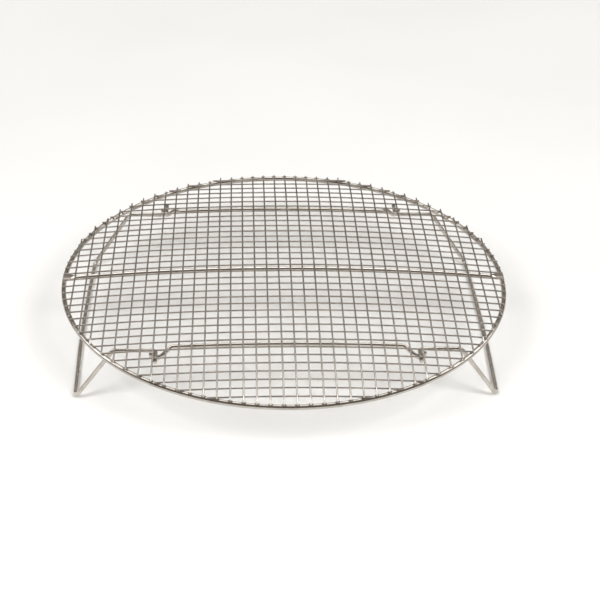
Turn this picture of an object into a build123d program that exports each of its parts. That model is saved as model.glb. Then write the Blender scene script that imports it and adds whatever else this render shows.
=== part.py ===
from build123d import *

import math
import os

# A round cooling rack: a welded square mesh lying on a wire rim, stiffened by a centre bar and
# two rods, and standing on two wire legs that fold up under the mesh.
# Millimetres, +Z up, floor at z = 0, origin under the middle of the mesh.

# Rim
OUTER_DIAMETER = 410.0
RIM_WIRE = 4.5
RIM_HEIGHT = 51.5  # middle of the rim wire above the floor

# Mesh: two layers of straight wires, each cropped to a circle just inside the rim's outer edge
MESH_WIRE = 1.5
PITCH = 11.0
WIRES_EACH_WAY = 36
CROWN = 10.0  # the mesh is this much higher in the middle than at the rim
CROP_RADIUS = 204.3
WELD_GAP = 0.02  # welded wires stay this far apart, so that no two solids share volume
END_BEND_RADIUS = 197.0  # where the upper wires start to bend down onto the rim
END_BEND_SLOPE = 0.32  # the most an end may drop for each millimetre of its length
CROSSING_CLEAR = 2.0  # an end bends only this far past the last lower wire
SHORTEST_BEND = 2.0

# Centre bar and support rods, both welded under the upper layer of the mesh
BAR_WIRE = 4.5
BAR_ROUND_REACH = 190.0  # beyond this the bar is pressed flat
BAR_FLAT_REACH = 197.0
BAR_END_REACH = 204.0
BAR_FLAT_WIDTH = 7.5
BAR_FLAT_THICKNESS = 1.8
ROD_WIRE = 3.8
ROD_OFFSET = 121.0  # rods stand this far in front of and behind the centre bar
ROD_STRAIGHT_REACH = 95.0
ROD_JOG_START = 100.0
ROD_JOG_END = 107.0
ROD_JOG_HEIGHT = 54.1  # low enough to pass under the lower wires
ROD_BEND = 4.0  # centre-line radius of the jog's bends

# Hinges: each rod's end is a hook that passes under a pin bent from the leg's own wire. The hook
# is open above the pin, where the mesh closes it.
HINGE_X = 113.5
HINGE_HEIGHT = 53.8
HOOK_OFFSET = 128.0
HOOK_CLEARANCE = 0.06
HOOK_END = 375.0  # where the hook's tip is around the pin, in degrees from straight outwards

# Legs
LEG_WIRE = 3.8
ARM_OFFSET = 121.0
PIN_REACH = 140.0
PIN_BEND = 4.5
PIN_CHAMFER = 0.5
KNEE = (150.0, 54.2)  # x and height of the corner between arm and shin
KNEE_BEND = 6.0
FOOT_X = 186.0
FOOT_OFFSET = 116.5
FOOT_BEND = 8.0
RUNNER_BOW = 3.0  # the runner on the floor bows outwards by this much
RUNNER_BOW_RADIUS = 2600.0

# Worked out from the above
RIM_RADIUS = (OUTER_DIAMETER - RIM_WIRE) / 2
LOWER_EDGE_Z = RIM_HEIGHT + (RIM_WIRE + MESH_WIRE) / 2 + WELD_GAP
LOWER_DOME = (RIM_RADIUS**2 + CROWN**2) / (2 * CROWN)
DOME_CENTRE_Z = LOWER_EDGE_Z + CROWN - LOWER_DOME
UPPER_DOME = LOWER_DOME + MESH_WIRE + WELD_GAP
BAR_DOME = UPPER_DOME - (MESH_WIRE + BAR_WIRE) / 2 - WELD_GAP
ROD_DOME = UPPER_DOME - (MESH_WIRE + ROD_WIRE) / 2 - WELD_GAP
HOOK_RADIUS = (LEG_WIRE + ROD_WIRE) / 2 + HOOK_CLEARANCE
WIRE_OFFSETS = [PITCH * (i + 0.5) for i in range(WIRES_EACH_WAY // 2)]


def dome_z(dome, x, y):
    """Height of a dome of this radius over the point x, y."""
    return DOME_CENTRE_Z + math.sqrt(dome**2 - x**2 - y**2)


def half_chord(offset, radius):
    """Half the length of a chord that passes this far from a circle's middle."""
    return math.sqrt(radius**2 - offset**2)


def finish(part, name):
    part.label = name
    export_step(part, f"parts/{name}.step")


def sweep_wire(path, diameter):
    """Sweeps a round wire along a path that was drawn with BuildLine."""
    start = Plane(origin=path.wire() @ 0, z_dir=path.wire() % 0)
    with BuildSketch(start) as section:
        Circle(diameter / 2)
    sweep(section.sketch, path=path.wire())


def make_rim():
    with BuildPart() as rim:
        with BuildSketch(Plane.XZ) as section:
            with Locations((RIM_RADIUS, RIM_HEIGHT)):
                Circle(RIM_WIRE / 2)
        revolve(axis=Axis.Z)
    return rim.part


def make_lower_wires(offset):
    """Two wires along X, at +offset and -offset, lying on the rim."""
    reach = half_chord(offset, CROP_RADIUS)
    end_z = dome_z(LOWER_DOME, reach, offset)
    with BuildPart() as wires:
        with BuildLine() as path:
            ThreePointArc(
                (-reach, offset, end_z),
                (0, offset, dome_z(LOWER_DOME, 0, offset)),
                (reach, offset, end_z),
            )
        sweep_wire(path, MESH_WIRE)
        mirror(about=Plane.XZ)
    return wires.part


def last_crossing(offset):
    """How far out an upper wire at this offset still crosses a lower wire."""
    crossed = [y for y in WIRE_OFFSETS if offset < half_chord(y, CROP_RADIUS) + MESH_WIRE]
    return max(crossed)


def make_upper_wires(offset):
    """Two wires along Y, at +offset and -offset, with ends bent down onto the rim."""
    reach = half_chord(offset, CROP_RADIUS)
    bend_start = max(
        half_chord(offset, END_BEND_RADIUS), last_crossing(offset) + CROSSING_CLEAR
    )
    if reach - bend_start > SHORTEST_BEND:
        drop = END_BEND_SLOPE * (reach - bend_start)
        start_z = dome_z(UPPER_DOME, offset, bend_start)
        end_z = max(start_z - drop, dome_z(LOWER_DOME, offset, reach))
    else:  # no room past the last lower wire, so this end stays straight
        bend_start = reach - SHORTEST_BEND
        start_z = dome_z(UPPER_DOME, offset, bend_start)
        end_z = dome_z(UPPER_DOME, offset, reach)
    with BuildPart() as wires:
        with BuildLine() as path:
            span = ThreePointArc(
                (offset, -bend_start, start_z),
                (offset, 0, dome_z(UPPER_DOME, offset, 0)),
                (offset, bend_start, start_z),
            )
            TangentArc(span @ 1, (offset, reach, end_z), tangent=span % 1)
            TangentArc(span @ 0, (offset, -reach, end_z), tangent=(span % 0) * -1)
        sweep_wire(path, MESH_WIRE)
        mirror(about=Plane.YZ)
    return wires.part


def make_centre_bar():
    """A round wire whose ends are pressed flat and welded on top of the rim."""
    flat_z = RIM_HEIGHT + RIM_WIRE / 2 + WELD_GAP + BAR_FLAT_THICKNESS / 2
    round_z = dome_z(BAR_DOME, BAR_ROUND_REACH, 0)
    with BuildPart() as bar:
        with BuildLine() as path:
            ThreePointArc(
                (-BAR_ROUND_REACH, 0, round_z),
                (0, 0, dome_z(BAR_DOME, 0, 0)),
                (BAR_ROUND_REACH, 0, round_z),
            )
        sweep_wire(path, BAR_WIRE)
        for side in (1, -1):
            end_face = bar.faces().filter_by(GeomType.PLANE).sort_by(Axis.X)[-1 if side > 0 else 0]
            flat_plane = Plane(
                origin=(side * BAR_FLAT_REACH, 0, flat_z), x_dir=(0, 1, 0), z_dir=(side, 0, 0)
            )
            with BuildSketch(flat_plane) as flat:
                RectangleRounded(BAR_FLAT_WIDTH, BAR_FLAT_THICKNESS, BAR_FLAT_THICKNESS * 0.45)
            loft([end_face, flat.sketch])
            extrude(flat.sketch, amount=BAR_END_REACH - BAR_FLAT_REACH)
    return bar.part


def make_rod(front):
    """A rod that jogs past the lower wires at each end and hooks under a leg's pin."""
    reach = ROD_STRAIGHT_REACH
    rod_y = front * ROD_OFFSET
    hook_y = front * HOOK_OFFSET
    end_z = dome_z(ROD_DOME, reach, ROD_OFFSET)
    away = HINGE_X - ROD_JOG_END
    above = ROD_JOG_HEIGHT - HINGE_HEIGHT
    hook_start = math.atan2(above, -away) + math.acos(HOOK_RADIUS / math.hypot(away, above))
    hook_end = math.radians(HOOK_END)
    with BuildPart() as rod:
        with BuildLine() as path:
            span = ThreePointArc(
                (-reach, rod_y, end_z),
                (0, rod_y, dome_z(ROD_DOME, 0, ROD_OFFSET)),
                (reach, rod_y, end_z),
            )
            for side in (1, -1):
                start = span @ 1 if side > 0 else span @ 0
                along = span % 1 if side > 0 else (span % 0) * -1
                hook = [
                    (
                        side * (HINGE_X + HOOK_RADIUS * math.cos(angle)),
                        hook_y,
                        HINGE_HEIGHT + HOOK_RADIUS * math.sin(angle),
                    )
                    for angle in (hook_start, (hook_start + hook_end) / 2, hook_end)
                ]
                FilletPolyline(
                    start,
                    start + along * (ROD_JOG_START - reach),
                    (side * ROD_JOG_END, hook_y, ROD_JOG_HEIGHT),
                    hook[0],
                    radius=ROD_BEND,
                )
                ThreePointArc(*hook)
        sweep_wire(path, ROD_WIRE)
    return rod.part


def make_leg(side):
    """One bent wire: pin, arm, shin, runner on the floor, shin, arm, pin."""
    foot_z = LEG_WIRE / 2
    half = [
        (side * HINGE_X, PIN_REACH, HINGE_HEIGHT),
        (side * HINGE_X, ARM_OFFSET, HINGE_HEIGHT),
        (side * KNEE[0], ARM_OFFSET, KNEE[1]),
        (side * FOOT_X, FOOT_OFFSET, foot_z),
    ]
    middle = (side * (FOOT_X + RUNNER_BOW), 0, foot_z)
    other_half = [(x, -y, z) for x, y, z in reversed(half)]
    bends = [PIN_BEND, KNEE_BEND, FOOT_BEND]
    with BuildPart() as leg:
        with BuildLine() as path:
            FilletPolyline(
                *half, middle, *other_half, radius=bends + [RUNNER_BOW_RADIUS] + bends[::-1]
            )
        sweep_wire(path, LEG_WIRE)
        pin_ends = leg.faces().filter_by(GeomType.PLANE).edges()
        chamfer(pin_ends, PIN_CHAMFER)
    return leg.part


os.makedirs("parts", exist_ok=True)
finish(make_rim(), "rim")
finish(make_centre_bar(), "centre_bar")
finish(make_rod(-1), "front_rod")
finish(make_rod(1), "back_rod")
finish(make_leg(-1), "left_leg")
finish(make_leg(1), "right_leg")
for number, wire_offset in enumerate(WIRE_OFFSETS, start=1):
    finish(make_lower_wires(wire_offset), f"lower_wires_{number:02d}")
    finish(make_upper_wires(wire_offset), f"upper_wires_{number:02d}")
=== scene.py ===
import math

import bmesh
import bpy
from mathutils import Matrix, Vector


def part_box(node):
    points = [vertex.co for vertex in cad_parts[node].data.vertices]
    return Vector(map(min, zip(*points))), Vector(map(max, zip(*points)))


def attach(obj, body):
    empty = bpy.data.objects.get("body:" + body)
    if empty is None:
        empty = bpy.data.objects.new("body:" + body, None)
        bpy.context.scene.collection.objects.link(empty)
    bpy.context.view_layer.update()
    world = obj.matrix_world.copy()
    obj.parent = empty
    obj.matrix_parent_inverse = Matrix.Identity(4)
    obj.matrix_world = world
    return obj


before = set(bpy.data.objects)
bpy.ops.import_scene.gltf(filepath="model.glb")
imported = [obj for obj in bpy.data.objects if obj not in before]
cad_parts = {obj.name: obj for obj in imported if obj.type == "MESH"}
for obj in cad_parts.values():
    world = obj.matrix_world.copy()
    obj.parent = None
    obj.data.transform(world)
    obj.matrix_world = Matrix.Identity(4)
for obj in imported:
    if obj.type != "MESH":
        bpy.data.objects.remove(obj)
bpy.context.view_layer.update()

MM = 0.001

# Places and sizes read from the frame
RIM_LOW, RIM_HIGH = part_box("rim")
RIM_WIRE = RIM_HIGH[2] - RIM_LOW[2]
RIM_RADIUS = RIM_HIGH[0] - RIM_WIRE / 2
RIM_TOP = RIM_HIGH[2]
MESH_WIRE = 1.5 * MM
PAIRS = 18
WIRE_OFFSETS = [
    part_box(f"upper_wires_{number:02d}")[1][0] - MESH_WIRE / 2 for number in range(1, PAIRS + 1)
]
CROP_RADIUS = math.hypot(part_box("lower_wires_01")[1][0], WIRE_OFFSETS[0])
PITCH = WIRE_OFFSETS[1] - WIRE_OFFSETS[0]
EDGE_Z = RIM_TOP + MESH_WIRE
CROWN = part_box("lower_wires_01")[1][2] - EDGE_Z
DOME_RADIUS = (RIM_RADIUS**2 + CROWN**2) / (2 * CROWN)
BAR_LOW, BAR_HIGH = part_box("centre_bar")
ROD_WIRE = 3.8 * MM
ROD_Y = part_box("back_rod")[0][1] + ROD_WIRE / 2  # the box also holds the hooks, further out
ROD_REACH = 95 * MM  # how far out a rod is straight

# Steel: the scale of its patterns
POLISH_CLOUD = 18 * MM  # patches where the polish is a little duller
DULLEST, LIGHTEST, GLOSSIEST = 0.5, 0.92, 0.95  # where these lie on the sum of the two noises
LINE_SHARE = 0.45  # how much the lines count in that sum
LINE_DEPTH = 0.05 * MM
LINE_WIDTH = 0.35 * MM  # real die lines are finer than this, too fine to show
LINE_LENGTH = 9 * MM
SCUFF = 1.2 * MM
MOLTEN_RIPPLE = 0.5 * MM

# Welds: half sizes of the beads, along, across and up
CROSSING_BEAD = (1.0 * MM, 1.0 * MM, 0.28 * MM)
RIM_BEAD = (2.4 * MM, 1.2 * MM, 0.7 * MM)
STIFFENER_BEAD = (1.1 * MM, 1.3 * MM, 0.5 * MM)
BAR_END_BEAD = (1.7 * MM, 0.9 * MM, 0.7 * MM)

RIM_JOINT_AT = 158  # degrees round from +X
RIM_JOINT_WIDTH = 3.2 * MM
RIM_JOINT_SWELL = 0.22 * MM
RIM_JOINT_SEGMENTS = 28
RIM_JOINT_RINGS = 3

# Studio, in metres
STUDIO_RADIUS = 6.0
STUDIO_SEGMENTS = 96
BACKDROP_HEIGHT = 5.0
PAPER_CLOUD = 1 / 3
LIGHTER_BACK = 0.35  # how much the room lightens away from the camera
RACK_MIDDLE = Vector((0.0, 0.0, RIM_TOP))

# The camera looks down at the rack from the front, a little to its left.
CAMERA_PLACE = Vector((-0.0415, -1.2353, 0.7956))
CAMERA_AZIMUTH = math.radians(2.618)
CAMERA_DIP = math.radians(31.794)
CAMERA_ROLL = math.radians(1.166)
CAMERA_LENS = 93.28  # for a 36 mm sensor


def dome_z(x, y):
    """Height where the two layers of the mesh touch, over the point x, y."""
    return EDGE_Z + CROWN - DOME_RADIUS + math.sqrt(DOME_RADIUS**2 - x * x - y * y)


# ---------------------------------------------------------------- materials


def linear(hex_colour):
    """An sRGB hex colour as linear RGBA."""
    values = [int(hex_colour[i : i + 2], 16) / 255 for i in (1, 3, 5)]
    channels = [v / 12.92 if v <= 0.04045 else ((v + 0.055) / 1.055) ** 2.4 for v in values]
    return (*channels, 1.0)


def grey(value):
    return (value, value, value, 1.0)


def add_node(tree, kind, settings=None, stops=(), **links):
    """Adds a node.

    settings are its properties, stops a colour ramp's (position, colour) pairs, and links its
    inputs, by name or as _number, each given as a value or as the socket that feeds it.
    """
    node = tree.nodes.new(kind)
    for name, value in (settings or {}).items():
        setattr(node, name, value)
    for i, (position, colour) in enumerate(stops):
        elements = node.color_ramp.elements
        element = elements[i] if i < 2 else elements.new(position)
        element.position = position
        element.color = colour
    for name, value in links.items():
        key = int(name[1:]) if name[0] == "_" else name.replace("_", " ")
        socket = node.inputs[key]
        if isinstance(value, bpy.types.NodeSocket):
            tree.links.new(value, socket)
        else:
            socket.default_value = value
    return node


def new_material(name):
    material = bpy.data.materials.new(name)
    material.use_nodes = True
    tree = material.node_tree
    tree.nodes.clear()
    shader = add_node(tree, "ShaderNodeBsdfPrincipled")
    output = add_node(tree, "ShaderNodeOutputMaterial")
    tree.links.new(shader.outputs[0], output.inputs[0])
    return material, tree, shader


def steel(name, light, dark, roughness, lines, relief):
    """Bright stainless wire. lines makes a noise that runs along the wire.

    A slow cloud over it carries the uneven polish, and so the colour and the roughness.
    """
    material, tree, shader = new_material(name)
    place = add_node(tree, "ShaderNodeTexCoord").outputs["Object"]
    fine = lines(tree, place)
    cloud = add_node(
        tree,
        "ShaderNodeTexNoise",
        Vector=place,
        Scale=1 / POLISH_CLOUD,
        Detail=3.0,
        Roughness=0.55,
    ).outputs["Fac"]
    mixed = add_node(
        tree, "ShaderNodeMath", {"operation": "MULTIPLY_ADD"}, _0=fine, _1=LINE_SHARE, _2=cloud
    ).outputs[0]
    colour = add_node(
        tree,
        "ShaderNodeValToRGB",
        stops=[(DULLEST, linear(dark)), (LIGHTEST, linear(light))],
        Fac=mixed,
    ).outputs["Color"]
    rough = add_node(
        tree,
        "ShaderNodeValToRGB",
        stops=[(DULLEST, grey(roughness[1])), (GLOSSIEST, grey(roughness[0]))],
        Fac=mixed,
    ).outputs["Color"]
    bump = add_node(
        tree, "ShaderNodeBump", Strength=relief, Distance=LINE_DEPTH, Height=fine
    ).outputs["Normal"]
    tree.links.new(colour, shader.inputs["Base Color"])
    tree.links.new(rough, shader.inputs["Roughness"])
    tree.links.new(bump, shader.inputs["Normal"])
    shader.inputs["Metallic"].default_value = 1.0
    return material


def stretched_noise(x, y, z):
    """A noise whose marks are this long along each axis: die lines if long one way, or blotches."""

    def make(tree, place):
        stretched = add_node(
            tree, "ShaderNodeMapping", Vector=place, Scale=(1 / x, 1 / y, 1 / z)
        ).outputs["Vector"]
        return add_node(
            tree, "ShaderNodeTexNoise", Vector=stretched, Scale=1.0, Detail=4.0, Roughness=0.6
        ).outputs["Fac"]

    return make


def ring_lines(tree, place):
    """Die lines that follow the rim round: the noise is read along the arc, not along X or Y."""
    parts = add_node(tree, "ShaderNodeSeparateXYZ", Vector=place).outputs
    angle = add_node(
        tree, "ShaderNodeMath", {"operation": "ARCTAN2"}, _0=parts["Y"], _1=parts["X"]
    ).outputs[0]
    arc = add_node(
        tree, "ShaderNodeMath", {"operation": "MULTIPLY"}, _0=angle, _1=RIM_RADIUS / LINE_LENGTH
    ).outputs[0]
    level = add_node(
        tree, "ShaderNodeMath", {"operation": "DIVIDE"}, _0=parts["Z"], _1=LINE_WIDTH
    ).outputs[0]
    along = add_node(tree, "ShaderNodeCombineXYZ", X=arc, Y=level).outputs["Vector"]
    return add_node(
        tree, "ShaderNodeTexNoise", Vector=along, Scale=1.0, Detail=4.0, Roughness=0.6
    ).outputs["Fac"]


LINES_ALONG_X = stretched_noise(LINE_LENGTH, LINE_WIDTH, LINE_WIDTH)
LINES_ALONG_Y = stretched_noise(LINE_WIDTH, LINE_LENGTH, LINE_WIDTH)
SCUFFS = stretched_noise(SCUFF, SCUFF, SCUFF)
RIPPLES = stretched_noise(MOLTEN_RIPPLE, MOLTEN_RIPPLE, MOLTEN_RIPPLE)

# Electropolished thick wire: long clean highlights with a slight ripple round the ring.
rim_steel = steel("electropolished_rim_wire", "#c6c1bb", "#a59f97", (0.15, 0.28), ring_lines, 0.15)
# Drawn and electropolished: a sharp dark streak between two bright ones, with faint long lines.
bar_steel = steel("drawn_bar_wire", "#dedad4", "#bfb9b1", (0.11, 0.22), LINES_ALONG_X, 0.2)
# Thinner drawn wire, duller than the bar, because it was bent and welded under the mesh.
rod_steel = steel("drawn_rod_wire", "#d3cec7", "#b1aaa2", (0.14, 0.26), LINES_ALONG_X, 0.2)
# Bent wire: its polish is scuffed where it was bent and where it stands, so its gloss is uneven.
leg_steel = steel("bent_leg_wire", "#d2cdc6", "#b2aba3", (0.2, 0.34), SCUFFS, 0.2)
# Fine drawn wire, the same in both layers. The lower layer is painted a little greyer than the
# upper one as painted shade, standing in for the darker reflections it shows.
shaded_lower_steel = steel("drawn_lower_mesh_wire", "#bcb7b0", "#98928a", (0.19, 0.32), LINES_ALONG_X, 0.2)
upper_steel = steel("drawn_upper_mesh_wire", "#d6d2cc", "#b5afa8", (0.16, 0.3), LINES_ALONG_Y, 0.2)
# Resistance welds: steel that melted and froze, matt, with a little straw-brown heat tint.
weld_steel = steel("resistance_weld_bead", "#b3a999", "#756a5c", (0.32, 0.5), RIPPLES, 0.6)


def dress(node, material):
    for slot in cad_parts[node].material_slots:
        slot.material = material


dress("rim", rim_steel)
dress("centre_bar", bar_steel)
dress("front_rod", rod_steel)
dress("back_rod", rod_steel)
dress("left_leg", leg_steel)
dress("right_leg", leg_steel)
for pair in range(1, PAIRS + 1):
    dress(f"lower_wires_{pair:02d}", shaded_lower_steel)
    dress(f"upper_wires_{pair:02d}", upper_steel)


# ---------------------------------------------------------------- welds


def make_object(name, builder, material):
    """Turns a finished bmesh into an object at the origin."""
    mesh = bpy.data.meshes.new(name)
    builder.to_mesh(mesh)
    builder.free()
    mesh.materials.append(material)
    made = bpy.data.objects.new(name, mesh)
    bpy.context.collection.objects.link(made)
    return made


def add_piece(name, builder, material):
    """Adds a piece that moves with the mesh and rim."""
    piece = make_object(name, builder, material)
    for polygon in piece.data.polygons:
        polygon.use_smooth = True
    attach(piece, "rack")


def add_bead(builder, centre, size, turn=0.0):
    """One bead of metal squeezed out of a weld; turn swings its long side round from X."""
    place = (
        Matrix.Translation(Vector(centre))
        @ Matrix.Rotation(turn, 4, "Z")
        @ Matrix.Diagonal((*size, 1.0))
    )
    bmesh.ops.create_icosphere(builder, subdivisions=1, radius=1.0, matrix=place)


def both_sides(offsets):
    return [side * offset for offset in offsets for side in (1, -1)]


def crossing_welds():
    """Where each upper wire crosses each lower one."""
    beads = bmesh.new()
    for x in both_sides(WIRE_OFFSETS):
        for y in both_sides(WIRE_OFFSETS):
            if math.hypot(x, y) < CROP_RADIUS - CROSSING_BEAD[0]:
                add_bead(beads, (x, y, dome_z(x, y)), CROSSING_BEAD)
    return beads


def rim_welds():
    """Where each wire's two ends lie on the rim."""
    beads = bmesh.new()
    for offset in both_sides(WIRE_OFFSETS):
        for side in (1, -1):
            along = side * math.sqrt(RIM_RADIUS**2 - offset**2)
            for x, y in ((along, offset), (offset, along)):
                add_bead(beads, (x, y, RIM_TOP + RIM_BEAD[2] / 2), RIM_BEAD, math.atan2(x, -y))
    return beads


def stiffener_welds():
    """Where the centre bar and the two rods touch the upper wires over them."""
    beads = bmesh.new()
    for x in both_sides(WIRE_OFFSETS):
        for y, reach in ((0, RIM_RADIUS - PITCH), (ROD_Y, ROD_REACH), (-ROD_Y, ROD_REACH)):
            if abs(x) < reach:
                add_bead(beads, (x, y, dome_z(x, y) + STIFFENER_BEAD[2] / 2), STIFFENER_BEAD)
    return beads


def bar_end_welds():
    """A bead each side of the bar's flat ends, along the rim."""
    beads = bmesh.new()
    half_width = (BAR_HIGH[1] - BAR_LOW[1]) / 2
    for x in (RIM_RADIUS, -RIM_RADIUS):
        for y in (half_width, -half_width):
            add_bead(beads, (x, y, RIM_TOP + BAR_END_BEAD[2] / 3), BAR_END_BEAD)
    return beads


def rim_joint():
    """The rim's wire is closed by one butt weld, ground nearly flush, behind a leg."""
    joint = bmesh.new()
    radius = RIM_WIRE / 2
    bmesh.ops.create_cone(
        joint,
        cap_ends=True,
        segments=RIM_JOINT_SEGMENTS,
        radius1=radius,
        radius2=radius,
        depth=RIM_JOINT_WIDTH,
    )
    long_edges = [
        edge for edge in joint.edges if abs(edge.verts[0].co.z - edge.verts[1].co.z) > radius
    ]
    bmesh.ops.subdivide_edges(joint, edges=long_edges, cuts=RIM_JOINT_RINGS)
    for vert in joint.verts:
        swell = 1 - (2 * vert.co.z / RIM_JOINT_WIDTH) ** 2
        vert.co.xy *= 1 + RIM_JOINT_SWELL / radius * swell
    place = (
        Matrix.Rotation(math.radians(RIM_JOINT_AT), 4, "Z")
        @ Matrix.Translation((RIM_RADIUS, 0.0, RIM_TOP - radius))
        @ Matrix.Rotation(math.pi / 2, 4, "X")
    )
    bmesh.ops.transform(joint, matrix=place, verts=joint.verts)
    return joint


add_piece("crossing_welds", crossing_welds(), weld_steel)
add_piece("rim_welds", rim_welds(), weld_steel)
add_piece("stiffener_welds", stiffener_welds(), weld_steel)
add_piece("bar_end_welds", bar_end_welds(), weld_steel)
add_piece("rim_joint", rim_joint(), rim_steel)


# ---------------------------------------------------------------- floor, light, camera


def matt_paper(name, light, dark):
    """White paper, barely clouded and with almost no sheen."""
    material, tree, shader = new_material(name)
    place = add_node(tree, "ShaderNodeTexCoord").outputs["Object"]
    clouds = add_node(
        tree, "ShaderNodeTexNoise", Vector=place, Scale=1 / PAPER_CLOUD, Detail=2.0
    ).outputs["Fac"]
    colour = add_node(
        tree,
        "ShaderNodeValToRGB",
        stops=[(0.3, linear(dark)), (0.7, linear(light))],
        Fac=clouds,
    ).outputs["Color"]
    tree.links.new(colour, shader.inputs["Base Color"])
    shader.inputs["Roughness"].default_value = 0.9
    shader.inputs["Specular IOR Level"].default_value = 0.1
    return material


def backlit_cloth(name, colour):
    """Cloth lit from behind, so that it is as pale from every side."""
    material, tree, shader = new_material(name)
    shader.inputs["Base Color"].default_value = linear("#000000")
    shader.inputs["Specular IOR Level"].default_value = 0.0
    shader.inputs["Emission Color"].default_value = linear(colour)
    shader.inputs["Emission Strength"].default_value = 1.0
    return material


def add_floor():
    disc = bmesh.new()
    bmesh.ops.create_circle(disc, cap_ends=True, radius=STUDIO_RADIUS, segments=STUDIO_SEGMENTS)
    paper = matt_paper("matt_white_paper", "#fbfbfa", "#f6f6f5")
    make_object("floor", disc, paper)


def add_backdrop():
    """Closes off the room for the camera alone, so that the steel still reflects the dim room."""
    wall = bmesh.new()
    bmesh.ops.create_cone(
        wall,
        cap_ends=False,
        segments=STUDIO_SEGMENTS,
        radius1=STUDIO_RADIUS,
        radius2=STUDIO_RADIUS,
        depth=BACKDROP_HEIGHT,
        matrix=Matrix.Translation((0.0, 0.0, BACKDROP_HEIGHT / 2)),
    )
    backdrop = make_object("backdrop", wall, backlit_cloth("backlit_white_cloth", "#fcfcfb"))
    backdrop.visible_diffuse = False
    backdrop.visible_glossy = False
    backdrop.visible_transmission = False
    backdrop.visible_shadow = False


def add_dim_room():
    """A dim, warm room, darkest behind the camera, which gives bright steel its dark streaks."""
    room = bpy.data.worlds.new("dim_studio")
    room.use_nodes = True
    tree = room.node_tree
    tree.nodes.clear()
    direction = add_node(tree, "ShaderNodeTexCoord").outputs["Generated"]
    parts = add_node(tree, "ShaderNodeSeparateXYZ", Vector=direction).outputs
    height = add_node(
        tree,
        "ShaderNodeMath",
        {"operation": "MULTIPLY_ADD"},
        _0=parts["Y"],
        _1=LIGHTER_BACK,
        _2=parts["Z"],
    ).outputs[0]
    colour = add_node(
        tree,
        "ShaderNodeValToRGB",
        stops=[
            (0.0, linear("#b0aaa4")),
            (0.22, linear("#241e18")),
            (0.45, linear("#5c5650")),
            (0.8, linear("#8f8983")),
            (1.0, linear("#c4c0ba")),
        ],
        Fac=height,
    ).outputs["Color"]
    background = add_node(tree, "ShaderNodeBackground", Color=colour, Strength=1.0)
    output = add_node(tree, "ShaderNodeOutputWorld")
    tree.links.new(background.outputs[0], output.inputs[0])
    bpy.context.scene.world = room


def add_softbox(name, azimuth, height, distance, size, radiance, in_steel):
    """A soft light that either shows in the steel or lights the floor.

    Azimuth 0 is behind the camera, and azimuth and height are in degrees.
    """
    turn, lift = math.radians(azimuth), math.radians(height)
    way = Vector(
        (-math.sin(turn) * math.cos(lift), -math.cos(turn) * math.cos(lift), math.sin(lift))
    )
    data = bpy.data.lights.new(name, "AREA")
    data.shape = "RECTANGLE"
    data.size, data.size_y = size
    data.energy = radiance * math.pi * size[0] * size[1]
    light = bpy.data.objects.new(name, data)
    light.location = RACK_MIDDLE + way * distance
    light.rotation_euler = way.to_track_quat("Z", "Y").to_euler()
    light.visible_diffuse = not in_steel
    light.visible_glossy = in_steel
    bpy.context.collection.objects.link(light)


def add_camera():
    data = bpy.data.cameras.new("camera")
    data.lens = CAMERA_LENS
    camera = bpy.data.objects.new("camera", data)
    camera.location = CAMERA_PLACE
    turn = (
        Matrix.Rotation(-CAMERA_AZIMUTH, 4, "Z")
        @ Matrix.Rotation(math.pi / 2 - CAMERA_DIP, 4, "X")
        @ Matrix.Rotation(CAMERA_ROLL, 4, "Z")
    )
    camera.rotation_euler = turn.to_euler()
    bpy.context.collection.objects.link(camera)
    bpy.context.scene.camera = camera


add_floor()
add_backdrop()
add_dim_room()
# Two far keys make the floor bright and even, and panels nearby are what the steel reflects.
add_softbox("left_key", 42, 45, 6.0, (2.4, 2.4), 12.5, in_steel=False)
add_softbox("right_key", -42, 45, 6.0, (2.4, 2.4), 12.5, in_steel=False)
add_softbox("back_panel", 180, 63, 1.6, (2.0, 0.95), 2.3, in_steel=True)
add_softbox("left_panel", 105, 32, 1.5, (0.7, 0.8), 3.0, in_steel=True)
add_softbox("right_panel", -105, 32, 1.5, (0.7, 0.8), 3.0, in_steel=True)
add_camera()
bpy.context.scene.view_settings.view_transform = "Standard"
